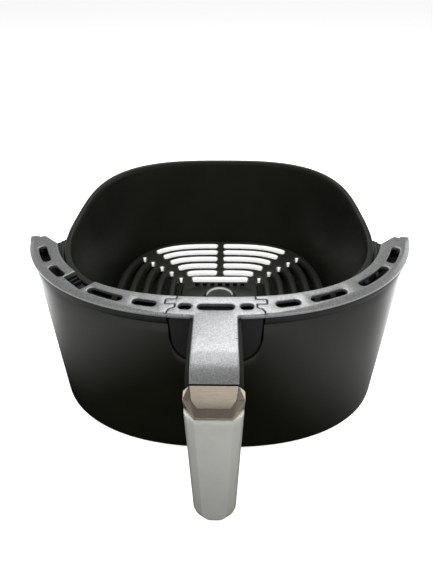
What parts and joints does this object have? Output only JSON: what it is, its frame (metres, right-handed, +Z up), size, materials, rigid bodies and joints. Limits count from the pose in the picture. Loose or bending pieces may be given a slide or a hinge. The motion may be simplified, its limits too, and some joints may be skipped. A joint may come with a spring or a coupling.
{
  "type": "air fryer drawer",
  "caption": "Pull-out drawer of a basket air fryer: deep non-stick pan, lift-out slotted crisper plate, curved gloss front, slotted collar and stand-off handle.",
  "frame": {"origin": "middle of the pan's flat underside, where the drawer stands", "axes": "+X to the right seen from the handle, +Y from the handle to the back of the pan, +Z up"},
  "size_m": [0.2744, 0.317, 0.119],
  "materials": {
    "nonstick_coating": "satin black non-stick coating on drawn steel",
    "gloss_black_plastic": "gloss black moulded plastic",
    "satin_black_plastic": "satin black moulded plastic",
    "metallic_grey_plastic": "fine metallic grey paint with a light sparkle",
    "champagne_plating": "satin champagne bronze",
    "silver_paint": "satin silver",
    "bracket_steel": "bright rolled steel",
    "zinc_screw": "bright zinc plating",
    "silicone": "matt black silicone",
    "fibre_pad": "pressed fibre heat pad"
  },
  "bodies": {
    "drawer": {"pan_shell": "nonstick_coating", "front_bracket": "bracket_steel", "side_bracket_left": "bracket_steel", "side_bracket_right": "bracket_steel", "heat_pad": "fibre_pad", "drawer_frame": "satin_black_plastic", "front_fascia": "gloss_black_plastic", "collar_left": "metallic_grey_plastic", "collar_right": "metallic_grey_plastic", "handle_cap": "metallic_grey_plastic", "handle_inset": "satin_black_plastic", "handle_core": "satin_black_plastic", "grip_crown": "champagne_plating", "grip_front_shell": "silver_paint", "grip_rear_shell": "satin_black_plastic", "handle_screw_left": "zinc_screw", "handle_screw_right": "zinc_screw", "cap_screw": "zinc_screw", "grip_screw_upper": "zinc_screw", "grip_screw_lower": "zinc_screw", "collar_screw_left_1": "zinc_screw", "collar_screw_left_2": "zinc_screw", "collar_screw_right_1": "zinc_screw", "collar_screw_right_2": "zinc_screw", "front_screw_left_lower": "zinc_screw", "front_screw_left_upper": "zinc_screw", "front_screw_right_lower": "zinc_screw", "front_screw_right_upper": "zinc_screw", "bracket_screw_left": "zinc_screw", "bracket_screw_right": "zinc_screw"},
    "plate": {"crisper_plate": "nonstick_coating", "plate_foot_1": "silicone", "plate_foot_2": "silicone", "plate_foot_3": "silicone", "plate_foot_4": "silicone"}
  },
  "joints": [
    {"name": "plate_lift", "type": "slide", "parent": "drawer", "child": "plate", "axis": [0, 0, 1], "range_m": [0, 0.13]}
  ]
}
